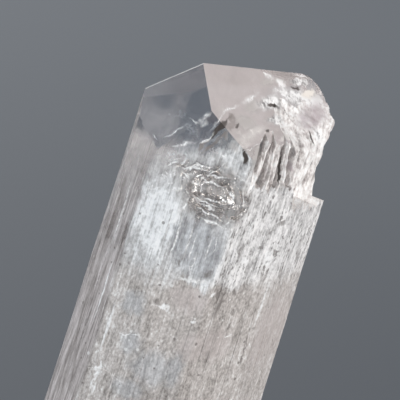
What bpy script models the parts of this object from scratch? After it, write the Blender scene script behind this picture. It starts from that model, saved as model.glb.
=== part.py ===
"""Danburite crystal: one orthorhombic prism with a chisel termination.

The crystal stands on the flat face where it broke off its matrix, with its c axis along +Z
and the origin at the middle of that face. Its prism zone has twelve faces that step inwards
as they rise, in strips, as growth layers do. The top is a chisel of two dome faces with a
steep face across each end. The top right corner is etched and broken back to ribs, above a ledge.

Azimuths are measured from -Y towards +X, so azimuth 0 faces the viewer of the front.
"""

import math
import random

import bmesh
import bpy
from mathutils import Vector, noise

MM = 0.001

# Overall size
HEIGHT = 46.0 * MM
REFERENCE_HEIGHT = 24.0 * MM
A_AXIS_AZIMUTH = 44.0

# Prism faces: Miller indices, angle from the a axis in degrees, and distance from the axis
# at REFERENCE_HEIGHT. Angles follow from danburite's cell, a 8.04, b 8.75, c 7.73.
PRISM_FACES = [
    ("-1 -1 0", -222.6, 6.80 * MM),
    ("-1 0 0", -180.0, 5.90 * MM),
    ("-1 1 0", -137.4, 8.08 * MM),
    ("-1 2 0", -118.6, 8.67 * MM),
    ("0 1 0", -90.0, 8.22 * MM),
    ("1 2 0", -61.4, 7.26 * MM),
    ("1 1 0", -42.6, 6.61 * MM),
    ("1 0 0", 0.0, 5.67 * MM),
    ("2 -1 0", 24.7, 6.14 * MM),
    ("1 -2 0", 61.4, 8.16 * MM),
    ("0 -1 0", 90.0, 7.60 * MM),
    ("-1 -2 0", 118.6, 7.10 * MM),
]
PRISM_LEAN = math.radians(0.35)

# Growth strips: each face is made of strips about this wide, which end at ledges
STRIP_WIDTH = 1.15 * MM
STRIP_WALL = 0.06 * MM
STRIP_RELIEF = 0.045 * MM
LEDGE_LEVELS = [level * MM for level in (4.8, 9.4, 13.6, 18.0, 22.0, 25.9, 30.2, 34.4)]
LEDGE_WANDER = 1.5 * MM
LEDGE_RISE = 0.10 * MM
GROWTH_STEP_TOTAL = 0.34 * MM

# Termination: the ridge runs across the a axis, between the two dome faces
RIDGE_SETBACK = 0.14 * MM
RIDGE_LEFT = 6.11 * MM
RIDGE_RIGHT = 5.78 * MM
DOME_INCLINATION = 43.9
SHOULDER_INCLINATION = 74.3
LEFT_SHOULDER_AZIMUTH = -38.5
RIDGE_CHIP_AZIMUTH = 112.0
RIDGE_CHIP_INCLINATION = 24.0
RIDGE_CHIP_START = 4.55 * MM

# Broken corner: a zone of the top right, cut back from the faces
ZONE_FIRST_AZIMUTH = 8.0
ZONE_LAST_AZIMUTH = 168.0
ZONE_COLUMNS = 96
ZONE_ROWS = 24
ZONE_BOTTOM = 36.2 * MM
ZONE_TOP = 47.0 * MM
ZONE_OUTER_RADIUS = 12.0 * MM
NOTCH_DEPTH = 0.82 * MM
FRONT_LEDGE_HEIGHT = 38.2 * MM
SIDE_LEDGE_HEIGHT = 36.9 * MM
RIB_PITCH_DEGREES = 13.5
RIB_GAP_DEPTH = 0.75 * MM
SCOOP_DEPTH = 0.38 * MM
SCOOP_SIZE = 2.1 * MM
HACKLE_SIZE = 0.8 * MM
CLEAR_OF_FACE = 0.5 * MM

# Chips round the broken base: azimuth and inclination of each chip's face, and its reach inwards
BASE_CHIPS = [
    (-20.0, 128.0, 0.55 * MM),
    (35.0, 118.0, 0.45 * MM),
    (88.0, 136.0, 0.60 * MM),
    (150.0, 124.0, 0.50 * MM),
    (-135.0, 132.0, 0.55 * MM),
    (-82.0, 121.0, 0.40 * MM),
]

# Etch pits: azimuth in degrees, height, length and width in millimetres
PITS = [
    (38.0, 35.4, 0.8, 0.34),
    (53.0, 33.4, 1.0, 0.30),
    (31.0, 31.3, 0.7, 0.26),
    (57.0, 29.0, 2.0, 0.26),
    (46.0, 24.4, 2.6, 0.28),
    (4.0, 27.6, 0.7, 0.30),
    (-52.0, 19.6, 1.2, 0.30),
    (12.0, 12.6, 1.0, 0.30),
    (-35.0, 7.5, 1.3, 0.32),
    (128.0, 28.0, 1.7, 0.34),
    (162.0, 16.0, 1.2, 0.32),
    (-150.0, 31.0, 1.6, 0.32),
    (-112.0, 24.0, 1.4, 0.30),
]
PIT_DEPTH = 0.32 * MM
PIT_CUTTER_REACH = 0.9 * MM


def outward(azimuth, inclination):
    """Unit vector with an azimuth and an inclination from +Z, both in degrees."""
    turn, tilt = math.radians(azimuth), math.radians(inclination)
    return Vector((math.sin(turn) * math.sin(tilt), -math.cos(turn) * math.sin(tilt), math.cos(tilt)))


def face_azimuth(index):
    return A_AXIS_AZIMUTH + PRISM_FACES[index % len(PRISM_FACES)][1]


def face_distance(index, z):
    """Distance of a prism face from the axis at height z, before its growth strips."""
    return PRISM_FACES[index % len(PRISM_FACES)][2] + (REFERENCE_HEIGHT - z) * math.tan(PRISM_LEAN)


def meet(first, first_distance, second, second_distance):
    """Corner of a section, where two upright faces at these distances cross."""
    one, two = outward(face_azimuth(first), 90), outward(face_azimuth(second), 90)
    cross = one.x * two.y - one.y * two.x
    x = (first_distance * two.y - second_distance * one.y) / cross
    y = (one.x * second_distance - two.x * first_distance) / cross
    return Vector((x, y, 0))


def ridge_point(along):
    """Point of the ridge line, this far from its middle towards its right end."""
    a_axis = outward(A_AXIS_AZIMUTH, 90)
    return Vector((0, 0, HEIGHT)) - a_axis * RIDGE_SETBACK + outward(A_AXIS_AZIMUTH + 90, 90) * along


def termination_planes():
    """Point and outward direction of each face that cuts the prism off at the top."""
    middle, left, right = ridge_point(0), ridge_point(-RIDGE_LEFT), ridge_point(RIDGE_RIGHT)
    return [
        (middle, outward(A_AXIS_AZIMUTH, DOME_INCLINATION)),
        (middle, outward(A_AXIS_AZIMUTH + 180, DOME_INCLINATION)),
        (left, outward(LEFT_SHOULDER_AZIMUTH, SHOULDER_INCLINATION)),
        (right, outward(A_AXIS_AZIMUTH + 90, SHOULDER_INCLINATION)),
        (ridge_point(RIDGE_CHIP_START), outward(RIDGE_CHIP_AZIMUTH, RIDGE_CHIP_INCLINATION)),
    ]


def growth_strips(rng):
    """For each face, its strips: a relief and the ledges where the strip steps inwards."""
    faces = []
    for index in range(len(PRISM_FACES)):
        start = meet(index - 1, face_distance(index - 1, 0), index, face_distance(index, 0))
        end = meet(index, face_distance(index, 0), index + 1, face_distance(index + 1, 0))
        strips = []
        for _ in range(max(2, round((end - start).length / STRIP_WIDTH))):
            shares = [rng.random() if rng.random() < 0.55 else 0.0 for _ in LEDGE_LEVELS]
            total = sum(shares) or 1.0
            steps = [GROWTH_STEP_TOTAL * share / total for share in shares]
            strips.append((rng.uniform(-1, 1) * STRIP_RELIEF, steps))
        faces.append(strips)
    for index, strips in enumerate(faces):
        strips[0] = faces[index - 1][-1]
    return faces


def strip_offset(strip, z):
    """How far a strip stands out from its face at height z, level with the rest at the top."""
    relief, steps = strip
    above = sum(step for level, step in zip(LEDGE_LEVELS, steps) if level < z)
    fade = 1.0 if z < LEDGE_LEVELS[-1] else 0.15
    return relief * fade + GROWTH_STEP_TOTAL / 2 - above


def section(strips_of_faces, z):
    """Closed outline of the prism at height z, as points in order round the axis."""
    points = []
    for index, strips in enumerate(strips_of_faces):
        previous = strips_of_faces[index - 1][-1]
        before = face_distance(index - 1, z)
        here = face_distance(index, z)
        after = face_distance(index + 1, z)
        points.append(meet(index - 1, before + strip_offset(previous, z),
                           index, here + strip_offset(strips[0], z)))
        start = meet(index - 1, before, index, here)
        end = meet(index, here, index + 1, after)
        along = (end - start).normalized()
        out = outward(face_azimuth(index), 90)
        for strip in range(1, len(strips)):
            wall = start.lerp(end, strip / len(strips))
            points.append(wall - along * STRIP_WALL / 2 + out * strip_offset(strips[strip - 1], z))
            points.append(wall + along * STRIP_WALL / 2 + out * strip_offset(strips[strip], z))
    return [Vector((point.x, point.y, z)) for point in points]


def ring_heights():
    """Nominal height of each ring and the index of the ledge that it belongs to, if any."""
    heights = [(0.0, None)]
    for index, level in enumerate(LEDGE_LEVELS):
        heights += [(level - LEDGE_RISE / 2, index), (level + LEDGE_RISE / 2, index)]
    return heights + [(HEIGHT + 2 * MM, None)]


def ledge_shifts(rng, stations):
    """How far each ledge rises or falls at each point round the axis."""
    return [[rng.uniform(-1, 1) * LEDGE_WANDER for _ in range(stations)] for _ in LEDGE_LEVELS]


def settle(bm):
    """Put a body's points and faces in an order that follows from their places alone."""
    order = sorted(bm.verts, key=lambda vert: tuple(vert.co))
    number = {vert: index for index, vert in enumerate(order)}
    faces = []
    for face in bm.faces:
        loop = [number[vert] for vert in face.verts]
        first = loop.index(min(loop))
        faces.append(loop[first:] + loop[:first])
    mesh = bpy.data.meshes.new("settled")
    mesh.from_pydata([vert.co for vert in order], [], sorted(faces))
    bm.clear()
    bm.from_mesh(mesh)
    bpy.data.meshes.remove(mesh)


def cut_face(bm, point, direction):
    """Slice the body with a plane, drop what lies outside and close it with one flat face."""
    geometry = bm.verts[:] + bm.edges[:] + bm.faces[:]
    cut = bmesh.ops.bisect_plane(bm, geom=geometry, dist=1e-7, plane_co=point,
                                 plane_no=direction, clear_outer=True)
    rim = [item for item in cut["geom_cut"] if isinstance(item, bmesh.types.BMEdge)]
    bmesh.ops.contextual_create(bm, geom=rim)


def make_prism(rng):
    """The whole prism with its growth strips, cut by the termination faces."""
    bm = bmesh.new()
    strips_of_faces = growth_strips(rng)
    ring = [bm.verts.new(point) for point in section(strips_of_faces, 0.0)]
    shifts = ledge_shifts(rng, len(ring))
    base = top = bm.faces.new(ring)
    for z, ledge in ring_heights()[1:]:
        lifted = bmesh.ops.extrude_face_region(bm, geom=[top])["geom"]
        if top is not base:
            bm.faces.remove(top)
        top = next(item for item in lifted if isinstance(item, bmesh.types.BMFace))
        for station, (vert, point) in enumerate(zip(top.verts, section(strips_of_faces, z))):
            rise = 0.0 if ledge is None else shifts[ledge][station]
            vert.co = point + Vector((0, 0, rise))
    bmesh.ops.recalc_face_normals(bm, faces=bm.faces)
    settle(bm)
    for point, direction in termination_planes():
        cut_face(bm, point, direction)
    for azimuth, inclination, reach in BASE_CHIPS:
        rim = outward(azimuth, 90) * (surface_radius(azimuth, 0.0) - reach)
        cut_face(bm, rim, outward(azimuth, inclination))
    return bm


def surface_radius(azimuth, z):
    """Distance of the whole prism's surface from the axis, along an azimuth."""
    ray = outward(azimuth, 90)
    limits = []
    for index in range(len(PRISM_FACES)):
        facing = ray.dot(outward(face_azimuth(index), 90))
        if facing > 0.2:
            limits.append(face_distance(index, z) / facing)
    return min(limits)


def smoothstep(low, high, value):
    share = min(1.0, max(0.0, (value - low) / (high - low)))
    return share * share * (3 - 2 * share)


def rib_gap(azimuth, z):
    """0 on the crest of a rib and about 1 in the gap between two ribs."""
    wander = 7.0 * noise.noise(Vector((azimuth / 17.0, 3.7, z / (6 * MM))))
    phase = (azimuth + wander) / RIB_PITCH_DEGREES
    uneven = 0.8 + 0.7 * noise.noise(Vector((azimuth / 9.0, 5.2, z / (3 * MM))))
    return uneven * (1 - abs(math.sin(math.pi * phase))) ** 1.2


def wall_cut(azimuth, z):
    """Depth to which the broken corner cuts back the prism faces, negative where it is whole."""
    side = smoothstep(58, 70, azimuth)
    ledge = FRONT_LEDGE_HEIGHT + (SIDE_LEDGE_HEIGHT - FRONT_LEDGE_HEIGHT) * side
    ledge += 0.9 * MM * noise.noise(Vector((azimuth / 7.0, 0.0, 1.3)))
    opens = smoothstep(ledge - 0.15 * MM, ledge + 0.15 * MM, z)
    front = (0.12 + 0.95 * smoothstep(38 * MM, 41.5 * MM, z)) * MM
    depth = front + (NOTCH_DEPTH - front) * side
    depth += RIB_GAP_DEPTH * rib_gap(azimuth, z)
    depth += 0.12 * MM * noise.noise(Vector((azimuth / 5.0, 9.1, z / MM)))
    inside = smoothstep(12, 19, azimuth) * (1 - smoothstep(148, 160, azimuth))
    return -CLEAR_OF_FACE + (depth + CLEAR_OF_FACE) * opens * inside


def top_cut(azimuth, z):
    """Depth to which the broken corner scoops the dome and shoulder faces."""
    place = outward(azimuth, 90) * 5 * MM + Vector((0, 0, z))
    bumps = noise.noise(place / SCOOP_SIZE)
    hackle = noise.noise(place / HACKLE_SIZE)
    depth = SCOOP_DEPTH * (0.55 + 1.1 * bumps + 0.5 * hackle)
    inside = smoothstep(70, 88, azimuth + 12.0 * (HEIGHT - z) / (5 * MM))
    inside *= (1 - smoothstep(146, 158, azimuth)) * (1 - smoothstep(44.4 * MM, 45.3 * MM, z))
    return -CLEAR_OF_FACE + (depth + CLEAR_OF_FACE) * inside


def zone_radius(azimuth, z):
    """Distance from the axis of the broken surface, along an azimuth at height z."""
    ray = outward(azimuth, 90)
    limits = []
    for index in range(len(PRISM_FACES)):
        facing = ray.dot(outward(face_azimuth(index), 90))
        if facing > 0.2:
            limits.append((face_distance(index, z) - wall_cut(azimuth, z)) / facing)
    for point, direction in termination_planes()[:4]:
        facing = ray.dot(direction)
        if facing > 0.05:
            reach = direction.dot(point) - top_cut(azimuth, z) - direction.z * z
            limits.append(reach / facing)
    return max(1.2 * MM, min(limits))


def make_broken_corner():
    """Cutter whose inner side is the ribbed and scooped surface of the broken corner."""
    bm = bmesh.new()
    bmesh.ops.create_grid(bm, x_segments=ZONE_COLUMNS, y_segments=ZONE_ROWS, size=0.5)
    inner = bm.faces[:]
    outer = bmesh.ops.extrude_face_region(bm, geom=inner, use_keep_orig=True)["geom"]
    outer_verts = {item for item in outer if isinstance(item, bmesh.types.BMVert)}
    for vert in bm.verts:
        azimuth = ZONE_FIRST_AZIMUTH + (vert.co.x + 0.5) * (ZONE_LAST_AZIMUTH - ZONE_FIRST_AZIMUTH)
        z = ZONE_BOTTOM + (vert.co.y + 0.5) * (ZONE_TOP - ZONE_BOTTOM)
        radius = ZONE_OUTER_RADIUS if vert in outer_verts else zone_radius(azimuth, z)
        vert.co = outward(azimuth, 90) * radius + Vector((0, 0, z))
    bmesh.ops.recalc_face_normals(bm, faces=bm.faces)
    return bm


def make_pits():
    """Cutter of small diamond shaped pits, long ways up the faces."""
    bm = bmesh.new()
    for azimuth, height, length, width in PITS:
        made = bmesh.ops.create_icosphere(bm, subdivisions=1, radius=0.5)["verts"]
        centre = outward(azimuth, 90) * surface_radius(azimuth, height * MM)
        across, out = outward(azimuth + 90, 90), outward(azimuth, 90)
        for vert in made:
            side, deep, up = vert.co
            reach = PIT_CUTTER_REACH if deep > 0 else PIT_DEPTH
            vert.co = (centre + across * side * width * MM + out * deep * 2 * reach
                       + Vector((0, 0, (height + up * length) * MM)))
    bmesh.ops.recalc_face_normals(bm, faces=bm.faces)
    return bm


def add_object(name, bm):
    settle(bm)
    mesh = bpy.data.meshes.new(name)
    bm.to_mesh(mesh)
    bm.free()
    added = bpy.data.objects.new(name, mesh)
    bpy.context.scene.collection.objects.link(added)
    return added


def add_cutter(name, bm, target):
    cutter = add_object(name, bm)
    cutter.hide_render = True
    cutter.display_type = "WIRE"
    cut = target.modifiers.new(name, "BOOLEAN")
    cut.operation = "DIFFERENCE"
    cut.solver = "EXACT"
    cut.object = cutter


def danburite_material():
    """Near colourless glassy crystal with a faint pink tint."""
    material = bpy.data.materials.new("danburite")
    material.use_nodes = True
    shader = material.node_tree.nodes["Principled BSDF"]
    shader.inputs["Base Color"].default_value = (0.78, 0.72, 0.70, 1.0)
    shader.inputs["Roughness"].default_value = 0.12
    shader.inputs["Metallic"].default_value = 0.0
    shader.inputs["Transmission Weight"].default_value = 0.9
    shader.inputs["IOR"].default_value = 1.63
    return material


def main():
    for leftover in list(bpy.data.objects):
        bpy.data.objects.remove(leftover, do_unlink=True)
    rng = random.Random(41)
    crystal = add_object("crystal", make_prism(rng))
    crystal.data.materials.append(danburite_material())
    add_cutter("broken_corner_cutter", make_broken_corner(), crystal)
    add_cutter("pit_cutter", make_pits(), crystal)


main()
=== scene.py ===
# %% [markdown]
# # A danburite crystal
# One crystal, clear as glass at its tip and milky below, stands on the face where it broke off
# its rock. The packed model gives its shape. The first cell loads that model as a frame.

# %% Load the packed model
import math
import random

import bmesh
import bpy
from mathutils import Matrix, Vector, noise


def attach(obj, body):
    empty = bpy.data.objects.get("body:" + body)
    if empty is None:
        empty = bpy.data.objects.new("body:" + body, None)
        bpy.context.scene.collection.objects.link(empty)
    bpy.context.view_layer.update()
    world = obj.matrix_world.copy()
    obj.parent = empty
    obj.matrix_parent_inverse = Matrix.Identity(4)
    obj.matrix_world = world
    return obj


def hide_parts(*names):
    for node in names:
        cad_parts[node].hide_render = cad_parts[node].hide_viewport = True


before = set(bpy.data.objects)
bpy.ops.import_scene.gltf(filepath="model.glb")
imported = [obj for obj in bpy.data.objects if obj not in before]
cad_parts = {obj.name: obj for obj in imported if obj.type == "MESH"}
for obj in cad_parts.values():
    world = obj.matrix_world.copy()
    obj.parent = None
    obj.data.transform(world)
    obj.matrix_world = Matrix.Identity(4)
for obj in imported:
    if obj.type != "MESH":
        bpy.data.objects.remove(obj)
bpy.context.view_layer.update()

MM = 0.001

# %% [markdown]
# # The camera
# The crystal was photographed close up with a long lens, from a little above, and it leans in the
# picture. A crystal that stands upright is easier to reuse, so the camera is rolled instead.

# %% Place the camera
PHOTO_SIZE = 400
TARGET_PIXEL = (208.92, 238.92)
TARGET = Vector((0.0, 0.0, 32.0)) * MM
CAMERA_ELEVATION = math.radians(14.21)
CAMERA_ROLL = math.radians(17.77)
CAMERA_DISTANCE = 0.40
LENS = 467.0

towards_camera = Vector((0, -math.cos(CAMERA_ELEVATION), math.sin(CAMERA_ELEVATION)))
camera_data = bpy.data.cameras.new("camera")
camera_data.lens = LENS
camera_data.sensor_width = 36.0
camera_data.clip_start = 0.01
camera_data.clip_end = 20.0
camera_data.shift_x = -(TARGET_PIXEL[0] - PHOTO_SIZE / 2) / PHOTO_SIZE
camera_data.shift_y = (TARGET_PIXEL[1] - PHOTO_SIZE / 2) / PHOTO_SIZE
camera = bpy.data.objects.new("camera", camera_data)
turn = towards_camera.to_track_quat("Z", "Y").to_matrix().to_4x4()
camera.matrix_world = (Matrix.Translation(TARGET + towards_camera * CAMERA_DISTANCE)
                       @ turn @ Matrix.Rotation(CAMERA_ROLL, 4, "Z"))
bpy.context.scene.collection.objects.link(camera)
bpy.context.scene.camera = camera
print("camera at", [round(value, 3) for value in camera.matrix_world.translation])

# %% [markdown]
# # Shader sums in plain Python
# A material is a net of nodes. Written by hand each sum takes several lines, so one small class
# wraps a socket and lets Python's own signs add the Math nodes. A second class is the material
# itself, and its one method adds every other node.


# %% Wrap a socket
class Link:
    """One output of a node, used in sums like a number."""

    def __init__(self, finish, socket):
        self.finish = finish
        self.socket = socket

    def out(self, name):
        """Another output of the same node."""
        return Link(self.finish, self.socket.node.outputs[name])

    def math(self, operation, *values):
        return self.finish.node("ShaderNodeMath", {"operation": operation}, *values)

    def __add__(self, other):
        return self.math("ADD", self, other)

    def __radd__(self, other):
        return self.math("ADD", other, self)

    def __sub__(self, other):
        return self.math("SUBTRACT", self, other)

    def __rsub__(self, other):
        return self.math("SUBTRACT", other, self)

    def __mul__(self, other):
        return self.math("MULTIPLY", self, other)

    def __rmul__(self, other):
        return self.math("MULTIPLY", other, self)

    def __truediv__(self, other):
        return self.math("DIVIDE", self, other)

    def __abs__(self):
        return self.math("ABSOLUTE", self)

    def most(self, other):
        return self.math("MAXIMUM", self, other)

    def least(self, other):
        return self.math("MINIMUM", self, other)

    def held(self):
        """The value kept between 0 and 1."""
        return self.most(0.0).least(1.0)

    def swing(self, strength):
        """How far a grain is above or below its middle, times a strength."""
        return (self - 0.5) * strength


# %% Make nodes and a material
WHITE = (1.0, 1.0, 1.0, 1)


class Finish:
    """A material, and the one method that adds its nodes."""

    def __init__(self, name):
        self.material = bpy.data.materials.new(name)
        self.material.use_nodes = True
        self.tree = self.material.node_tree
        self.tree.nodes.clear()
        self.place = self.node("ShaderNodeTexCoord", {}).out("Object")

    def node(self, kind, settings, *values, **named):
        """Adds a node, sets its settings, then fills its open sockets in order and by name."""
        node = self.tree.nodes.new(kind)
        for key, value in settings.items():
            if key == "stops":
                self.set_stops(node.color_ramp, value)
            else:
                setattr(node, key, value)
        sockets = [socket for socket in node.inputs if socket.enabled]
        pairs = list(zip(sockets, values))
        for key, value in named.items():
            wanted = key.replace("_", " ")
            pairs.append((next(socket for socket in sockets if socket.name == wanted), value))
        for socket, value in pairs:
            if isinstance(value, Link):
                self.tree.links.new(value.socket, socket)
            elif value is not None:
                socket.default_value = value
        return Link(self, next((item for item in node.outputs if item.enabled), None))

    def set_stops(self, ramp, stops):
        """Gives a colour ramp these stops, each a place and a colour."""
        while len(ramp.elements) < len(stops):
            ramp.elements.new(0.5)
        for element, (place, colour) in zip(ramp.elements, stops):
            element.position = place
            element.color = colour

    def rise(self, value, low, high):
        """0 below low and 1 above high, with a soft step between."""
        return self.node("ShaderNodeMapRange", {"interpolation_type": "SMOOTHSTEP"},
                         Value=value, From_Min=low, From_Max=high)

    def mix(self, share, first, second):
        """A colour between two, by a share from 0 to 1."""
        return self.node("ShaderNodeMix", {"data_type": "RGBA"}, share, first, second)

    def ramp(self, value, stops):
        """A colour read from a ramp of places and colours."""
        return self.node("ShaderNodeValToRGB", {"stops": stops}, value)

    def vector(self, operation, *values):
        return self.node("ShaderNodeVectorMath", {"operation": operation}, *values)

    def grain(self, width, length, seed, detail):
        """Noise drawn out up the crystal: width and length of one streak in metres."""
        scale = (1 / width, 1 / width, 1 / length)
        stretched = self.node("ShaderNodeMapping", {}, self.place,
                              (seed * 3.1, seed * 1.7, seed * 2.3), None, scale)
        return self.node("ShaderNodeTexNoise", {"noise_dimensions": "3D"}, Vector=stretched,
                         Scale=1.0, Detail=detail, Roughness=0.55)

    def shader_mix(self, share, first, second):
        return self.node("ShaderNodeMixShader", {}, share, first, second)

    def with_holes(self, share, surface):
        """This share of a surface, with open air in the rest."""
        return self.shader_mix(share, self.node("ShaderNodeBsdfTransparent", {}, WHITE), surface)

    def tell(self, step):
        print(self.material.name, step, len(self.tree.nodes), "nodes so far")

    def close(self, surface, volume=None):
        """Adds the output node and gives the finished material."""
        self.node("ShaderNodeOutputMaterial", {}, surface, volume)
        self.tell("closed")
        return self.material


print("a finish can", [name for name in vars(Finish) if not name.startswith("_")])

# %% [markdown]
# # The floor and the light
# Clear crystal has hardly any colour of its own: it shows the floor behind it, bent, and mirrors
# the lamps. So the floor is plain grey with a painted falloff of light: it is painted darker in
# front and to the right, and lighter behind and to the left. Each lamp is a soft square aimed at
# the faces that it has to light. The lamps hang low, which lights the upright faces more than the
# floor.

# %% Make an object from a bmesh
def add_piece(name, bm):
    """Writes a bmesh to a new object at the origin, its vertices always in one order."""
    bm.verts.sort(key=lambda vert: (vert.co.z * 7 + vert.co.x * 3 + vert.co.y) / MM)
    mesh = bpy.data.meshes.new(name)
    bm.to_mesh(mesh)
    bm.free()
    piece = bpy.data.objects.new(name, mesh)
    bpy.context.scene.collection.objects.link(piece)
    print(name, len(mesh.polygons), "faces")
    return piece


# %% Lay the floor
FLOOR_RADIUS = 2.5
PAINT_FADE = 0.26
# The near colour is painted shade and the far colour is painted light: a painted falloff across the floor.
FLOOR_SHADED_NEAR = (0.104, 0.119, 0.138, 1)
FLOOR_LIT_FAR = (0.202, 0.225, 0.251, 1)

bm = bmesh.new()
bmesh.ops.create_circle(bm, cap_ends=True, segments=96, radius=FLOOR_RADIUS)
floor = add_piece("floor", bm)

paint = Finish("floor_paint")
apart = paint.node("ShaderNodeSeparateXYZ", {}, paint.place)
# Share of the far colour, low in front and to the right: a painted falloff of light.
far = paint.rise(apart.out("Y") - apart.out("X") * 0.9, 0.0, PAINT_FADE)
floor.data.materials.append(paint.close(paint.node(
    "ShaderNodeBsdfPrincipled", {}, Base_Color=paint.mix(far, FLOOR_SHADED_NEAR, FLOOR_LIT_FAR), Roughness=0.7)))


# %% Hang the soft lights
def softbox(name, direction, distance, size, radiance, colour):
    """A square soft light that looks at the crystal, as bright as its radiance says."""
    light = bpy.data.lights.new(name, "AREA")
    light.shape = "SQUARE"
    light.size = size
    light.energy = radiance * math.pi * size * size
    light.color = colour
    direction = Vector(direction).normalized()
    lamp = bpy.data.objects.new(name, light)
    lamp.matrix_world = (Matrix.Translation(TARGET + direction * distance)
                         @ direction.to_track_quat("Z", "Y").to_matrix().to_4x4())
    lamp.visible_camera = False
    bpy.context.scene.collection.objects.link(lamp)
    print(name, "power", round(light.energy, 2), "W")


softbox("tip_light", (0.636, 0.311, 0.706), 0.55, 0.16, 2.75, (1.0, 0.905, 0.885))
softbox("left_light", (-0.75, -0.6, 0.26), 0.40, 0.24, 6.4, (0.95, 0.98, 1.0))
softbox("right_light", (0.85, -0.5, 0.26), 0.40, 0.24, 7.7, (1.0, 0.985, 0.97))
softbox("back_light", (-0.35, 0.8, 0.42), 0.60, 0.24, 6.0, (1.0, 0.98, 0.97))

# %% Fill the room with faint light
world = bpy.data.worlds.new("studio")
world.use_nodes = True
background = world.node_tree.nodes["Background"].inputs
background["Color"].default_value = (0.15, 0.157, 0.17, 1)
background["Strength"].default_value = 1.0
bpy.context.scene.world = world
bpy.context.scene.view_settings.view_transform = "Standard"
print("room light", [round(value, 3) for value in background["Color"].default_value])

# %% [markdown]
# # The body of the crystal
# Danburite grows as an upright prism of twelve faces, here in three sizes, closed by two dome
# faces that meet in a ridge. Growth leaves each face a row of narrow strips, a few hundredths of
# a millimetre high. The packed solid has the wide strips. This piece has the fine ones too: one
# ring round the foot is extruded upwards again and again, and each ring is set a little in or out.

# %% Faces of the prism
HEIGHT = 46.0
REFERENCE_HEIGHT = 24.0
LEAN = math.tan(math.radians(0.35))
A_AXIS = 44.0
PRISM_FACES = [(-178.6, 6.80), (-136.0, 5.90), (-93.4, 8.08), (-74.6, 8.67), (-46.0, 8.22),
               (-17.4, 7.26), (1.4, 6.61), (44.0, 5.67), (68.7, 6.14), (105.4, 8.16),
               (134.0, 7.60), (162.6, 7.10)]


def outward(azimuth, inclination=90.0):
    """Unit vector, azimuth from the front towards the right, inclination from the up axis."""
    turned, tilted = math.radians(azimuth), math.radians(inclination)
    return Vector((math.sin(turned) * math.sin(tilted), -math.cos(turned) * math.sin(tilted),
                   math.cos(tilted)))


def face_distance(face, z):
    """Distance in millimetres of a prism face from the axis, at a height."""
    return PRISM_FACES[face % len(PRISM_FACES)][1] + (REFERENCE_HEIGHT - z) * LEAN


def corner(face, z):
    """Where a prism face meets the one before it, at a height."""
    one, two = outward(PRISM_FACES[face - 1][0]), outward(PRISM_FACES[face % len(PRISM_FACES)][0])
    first, second = face_distance(face - 1, z), face_distance(face, z)
    cross = one.x * two.y - one.y * two.x
    return Vector(((first * two.y - second * one.y) / cross,
                   (one.x * second - two.x * first) / cross, z))


print("faces", len(PRISM_FACES), "girth at mid height",
      round(sum((corner(face, REFERENCE_HEIGHT) - corner(face - 1, REFERENCE_HEIGHT)).length
                for face in range(len(PRISM_FACES))), 1), "mm")

# %% Strips of each face
STRIP_WIDTH = 0.46
CORNER_FLAT = 0.045
STRIP_WALL = 0.035
RELIEF = 0.042
LEDGES = [7.4, 13.8, 20.6, 27.4]
LEDGE_STEP = 0.012
LEDGE_RISE = 0.09
RING_SPACING = 1.1
WANDER = 1.5

rng = random.Random(7)
strips = []
for face in range(len(PRISM_FACES)):
    length = (corner(face + 1, REFERENCE_HEIGHT) - corner(face, REFERENCE_HEIGHT)).length
    widths = [rng.uniform(0.5, 1.6) for _ in range(max(1, round(length / STRIP_WIDTH)))]
    strips.append([sum(widths[:index]) / sum(widths) for index in range(len(widths))])
print("strips", sum(len(face) for face in strips))


def smoothstep(low, high, value):
    share = min(1.0, max(0.0, (value - low) / (high - low)))
    return share * share * (3 - 2 * share)


def strip_offset(face, strip, z, ledges_below):
    """How far a strip stands out of its face, in millimetres."""
    if strip == 0:
        face, strip = (face - 1) % len(PRISM_FACES), len(strips[face - 1]) - 1
    mark = face * 17.3 + strip * 2.9
    fade = 1 - 0.6 * smoothstep(33, 37, z)
    relief = RELIEF * (noise.noise(Vector((mark, 0.5, z / 7.0))) * 1.6
                       + 0.5 * noise.noise(Vector((mark * 1.7, 4.5, z / 2.2))))
    ledge = sum(LEDGE_STEP * (1 + 1.6 * noise.noise(Vector((face * 1.9 + strip * 0.21, level, 0.3))))
                for level in LEDGES[:ledges_below])
    return relief * fade + LEDGE_STEP * len(LEDGES) / 2 - ledge


def ring(z, ledges_below):
    """Outline of the prism at a height, as points in order round the axis."""
    points = []
    for face, starts in enumerate(strips):
        start, end = corner(face, z), corner(face + 1, z)
        along = (end - start).normalized()
        out = outward(PRISM_FACES[face][0])
        heights = [strip_offset(face, strip, z, ledges_below) for strip in range(len(starts))]
        points.append(start + along * CORNER_FLAT + out * heights[0])
        for strip in range(1, len(starts)):
            wall = start.lerp(end, starts[strip])
            points.append(wall - along * STRIP_WALL / 2 + out * heights[strip - 1])
            points.append(wall + along * STRIP_WALL / 2 + out * heights[strip])
        points.append(end - along * CORNER_FLAT + out * heights[-1])
    return points


def wander(point, z):
    """How far a ring's point is lifted, so that ledges wave instead of running level."""
    ease = smoothstep(0, 4, z) * (1 - smoothstep(36, 40, z))
    return WANDER * ease * noise.noise(Vector((point.x / 2.6, point.y / 2.6, z / 7.0)))


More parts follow.
